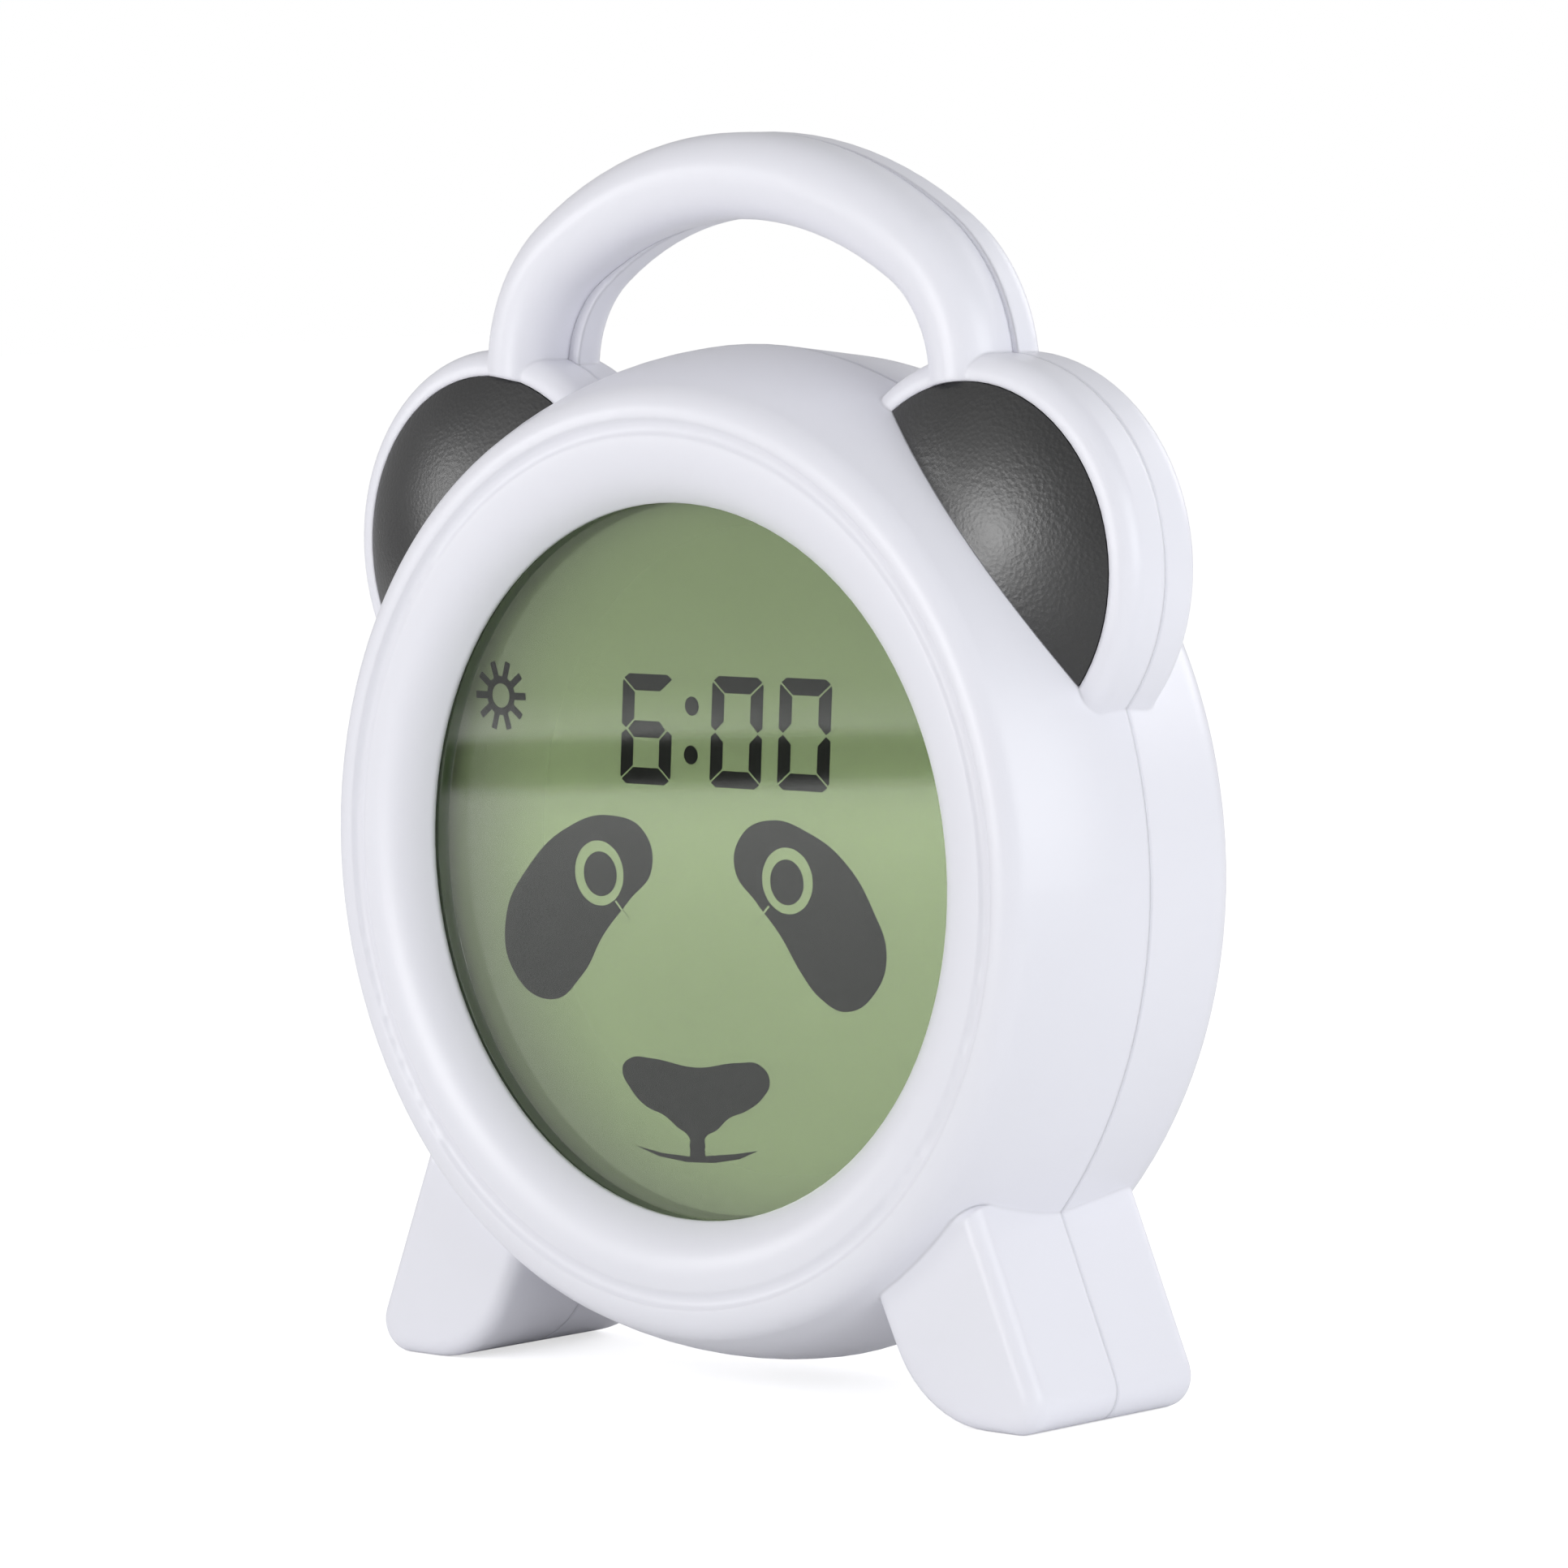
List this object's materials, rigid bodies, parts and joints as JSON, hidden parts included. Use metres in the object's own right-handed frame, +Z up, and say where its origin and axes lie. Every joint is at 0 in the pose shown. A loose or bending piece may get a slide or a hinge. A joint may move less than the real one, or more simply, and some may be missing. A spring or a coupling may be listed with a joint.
{
  "type": "kids alarm clock with night light",
  "caption": "Animal-shaped children's alarm clock: round lit display in a ring bezel, ears, carrying handle, splayed feet, rear keys, speaker grille and battery door.",
  "frame": {"origin": "on the surface the feet stand on, under the middle of the object", "axes": "+Z up, +X to the right seen from the front, -Y the side the display faces"},
  "size_m": [0.1468, 0.0443, 0.1718],
  "materials": {
    "white_plastic": "satin moulded plastic",
    "black_panel": "gloss black with a fine leather grain",
    "clear_lens": "clear polished acrylic",
    "dark_rubber": "matt rubber",
    "lcd_glass": "green reflective display glass",
    "light_guide": "frosted acrylic",
    "reflector": "white reflector film",
    "led": "LED row on a thin board",
    "frame_plastic": "moulded plastic",
    "circuit_board": "green solder mask",
    "connector_rubber": "elastomer strip",
    "steel_screw": "zinc plated",
    "switch_black": "moulded plastic",
    "speaker_can": "speaker cone and can",
    "grey_plastic": "moulded plastic",
    "cell_jacket": "plain dark jacket",
    "contact_steel": "nickel plated spring steel"
  },
  "bodies": {
    "clock": {"front_shell": "white_plastic", "rear_shell": "white_plastic", "ear_panel_left": "black_panel", "ear_panel_right": "black_panel", "window_lens": "clear_lens", "lens_gasket": "dark_rubber", "lcd_glass": "lcd_glass", "lcd_connectors": "connector_rubber", "light_guide": "light_guide", "reflector_sheet": "reflector", "night_light_leds": "led", "display_frame": "frame_plastic", "display_board": "circuit_board", "display_screws": "steel_screw", "case_screws": "steel_screw", "key_board": "circuit_board", "key_board_screws": "steel_screw", "tact_switches": "switch_black", "speaker": "speaker_can", "speaker_clamp": "frame_plastic", "speaker_screws": "steel_screw", "battery_cells": "cell_jacket", "battery_contacts_left": "contact_steel", "battery_contacts_right": "contact_steel"},
    "battery_door": {"battery_door": "white_plastic", "battery_door_screw": "steel_screw"},
    "button_set": {"button_set": "grey_plastic"},
    "button_alarm": {"button_alarm": "grey_plastic"},
    "button_mode": {"button_mode": "grey_plastic"},
    "button_down": {"button_down": "grey_plastic"},
    "button_up": {"button_up": "grey_plastic"},
    "button_light": {"button_light": "grey_plastic"}
  },
  "joints": [
    {"name": "battery_door_lift", "type": "slide", "parent": "clock", "child": "battery_door", "axis": [0, 1, 0], "range_m": [0, 0.03]},
    {"name": "button_set_press", "type": "slide", "parent": "clock", "child": "button_set", "axis": [0, -1, 0], "range_m": [0, 0.0005], "stiffness_N_per_m": 300, "springref_m": -0.0005},
    {"name": "button_alarm_press", "type": "slide", "parent": "clock", "child": "button_alarm", "axis": [0, -1, 0], "range_m": [0, 0.0005], "stiffness_N_per_m": 300, "springref_m": -0.0005},
    {"name": "button_mode_press", "type": "slide", "parent": "clock", "child": "button_mode", "axis": [0, -1, 0], "range_m": [0, 0.0005], "stiffness_N_per_m": 300, "springref_m": -0.0005},
    {"name": "button_down_press", "type": "slide", "parent": "clock", "child": "button_down", "axis": [0, -1, 0], "range_m": [0, 0.0005], "stiffness_N_per_m": 300, "springref_m": -0.0005},
    {"name": "button_up_press", "type": "slide", "parent": "clock", "child": "button_up", "axis": [0, -1, 0], "range_m": [0, 0.0005], "stiffness_N_per_m": 300, "springref_m": -0.0005},
    {"name": "button_light_press", "type": "slide", "parent": "clock", "child": "button_light", "axis": [0, -1, 0], "range_m": [0, 0.0005], "stiffness_N_per_m": 300, "springref_m": -0.0005}
  ]
}
